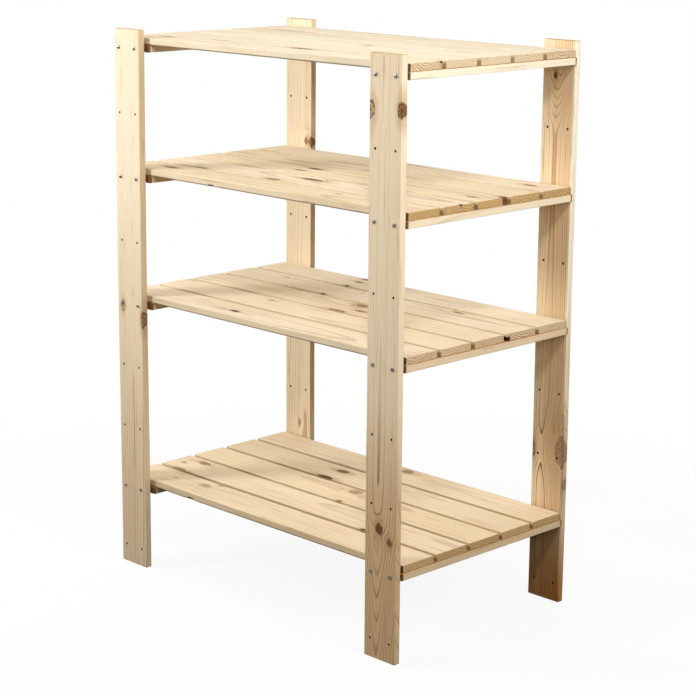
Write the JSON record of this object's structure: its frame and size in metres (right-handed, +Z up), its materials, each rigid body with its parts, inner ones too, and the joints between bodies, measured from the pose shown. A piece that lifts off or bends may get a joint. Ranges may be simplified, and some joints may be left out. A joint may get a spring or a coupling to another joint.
{
  "type": "wooden shelving unit",
  "caption": "Free-standing slatted pine shelving unit: flat board posts with rows of spare screw holes hold slatted shelves on end battens, screwed at chosen heights.",
  "frame": {"origin": "on the floor, below the middle of the unit", "axes": "+Z up, -Y to the front where the posts' screw heads show, +X to the right seen from the front"},
  "size_m": [0.866, 0.5262, 1.2],
  "materials": {
    "pine_post": "planed, unfinished knotty pine",
    "pine_slat": "planed, unfinished knotty pine",
    "pine_batten": "planed, unfinished knotty pine",
    "zinc_screw": "bright zinc plate"
  },
  "bodies": {
    "root": {"front_left_post": "pine_post", "front_right_post": "pine_post", "back_left_post": "pine_post", "back_right_post": "pine_post", "bottom_shelf_slat_1": "pine_slat", "bottom_shelf_slat_2": "pine_slat", "bottom_shelf_slat_3": "pine_slat", "bottom_shelf_slat_4": "pine_slat", "bottom_shelf_slat_5": "pine_slat", "middle_shelf_slat_1": "pine_slat", "middle_shelf_slat_2": "pine_slat", "middle_shelf_slat_3": "pine_slat", "middle_shelf_slat_4": "pine_slat", "middle_shelf_slat_5": "pine_slat", "upper_shelf_slat_1": "pine_slat", "upper_shelf_slat_2": "pine_slat", "upper_shelf_slat_3": "pine_slat", "upper_shelf_slat_4": "pine_slat", "upper_shelf_slat_5": "pine_slat", "top_shelf_slat_1": "pine_slat", "top_shelf_slat_2": "pine_slat", "top_shelf_slat_3": "pine_slat", "top_shelf_slat_4": "pine_slat", "top_shelf_slat_5": "pine_slat", "bottom_shelf_left_batten": "pine_batten", "bottom_shelf_right_batten": "pine_batten", "middle_shelf_left_batten": "pine_batten", "middle_shelf_right_batten": "pine_batten", "upper_shelf_left_batten": "pine_batten", "upper_shelf_right_batten": "pine_batten", "top_shelf_left_batten": "pine_batten", "top_shelf_right_batten": "pine_batten", "bottom_shelf_front_left_outer_screw": "zinc_screw", "bottom_shelf_front_left_inner_screw": "zinc_screw", "bottom_shelf_front_right_outer_screw": "zinc_screw", "bottom_shelf_front_right_inner_screw": "zinc_screw", "bottom_shelf_back_left_outer_screw": "zinc_screw", "bottom_shelf_back_right_outer_screw": "zinc_screw", "middle_shelf_front_left_outer_screw": "zinc_screw", "middle_shelf_front_left_inner_screw": "zinc_screw", "middle_shelf_front_right_outer_screw": "zinc_screw", "middle_shelf_front_right_inner_screw": "zinc_screw", "middle_shelf_back_left_outer_screw": "zinc_screw", "middle_shelf_back_right_outer_screw": "zinc_screw", "upper_shelf_front_left_outer_screw": "zinc_screw", "upper_shelf_front_left_inner_screw": "zinc_screw", "upper_shelf_front_right_outer_screw": "zinc_screw", "upper_shelf_front_right_inner_screw": "zinc_screw", "upper_shelf_back_left_outer_screw": "zinc_screw", "upper_shelf_back_right_outer_screw": "zinc_screw", "top_shelf_front_left_outer_screw": "zinc_screw", "top_shelf_front_left_inner_screw": "zinc_screw", "top_shelf_front_right_outer_screw": "zinc_screw", "top_shelf_front_right_inner_screw": "zinc_screw", "top_shelf_back_left_outer_screw": "zinc_screw", "top_shelf_back_right_outer_screw": "zinc_screw"}
  },
  "joints": []
}
